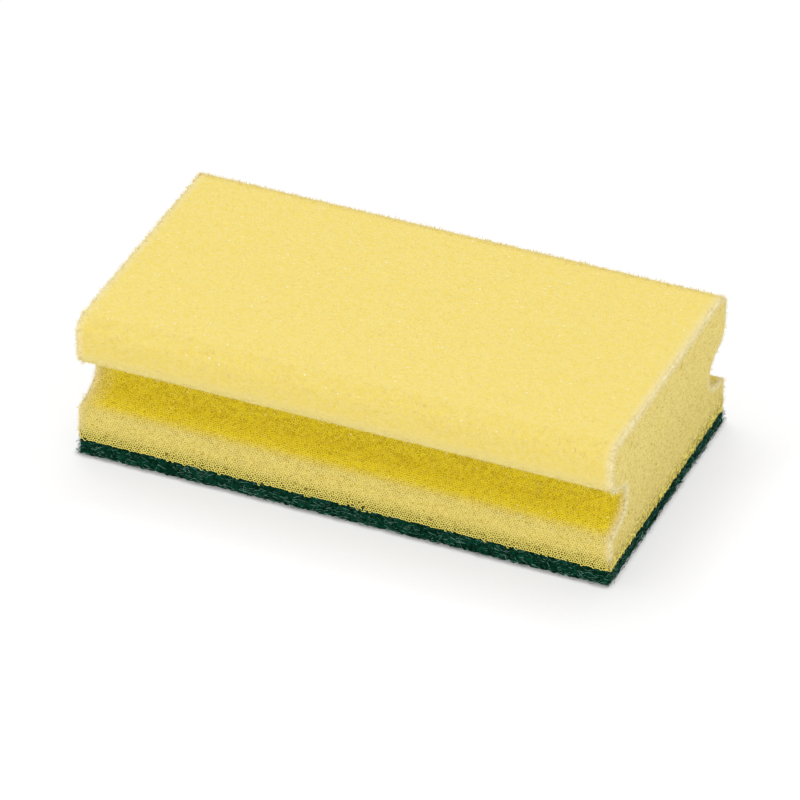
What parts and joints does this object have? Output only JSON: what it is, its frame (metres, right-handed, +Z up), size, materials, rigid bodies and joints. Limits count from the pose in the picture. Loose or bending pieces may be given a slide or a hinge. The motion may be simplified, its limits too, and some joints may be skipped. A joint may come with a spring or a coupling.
{
  "type": "grip sponge with scouring pad",
  "caption": "Soft foam sponge block with a finger groove along each long side and a thin abrasive fibre pad bonded to its flat underside.",
  "frame": {"origin": "centre of the scouring pad's underside, on the surface that the sponge rests on", "axes": "+X along the sponge, +Y across the two grips, +Z up from the scouring pad to the foam's flat top"},
  "size_m": [0.15, 0.08, 0.0415],
  "materials": {
    "yellow_foam": "matt open-cell polyurethane foam, pale yellow",
    "green_fibre": "rough non-woven abrasive fibre, dark green"
  },
  "bodies": {
    "root": {"foam_block": "yellow_foam", "scouring_pad": "green_fibre"}
  },
  "joints": []
}
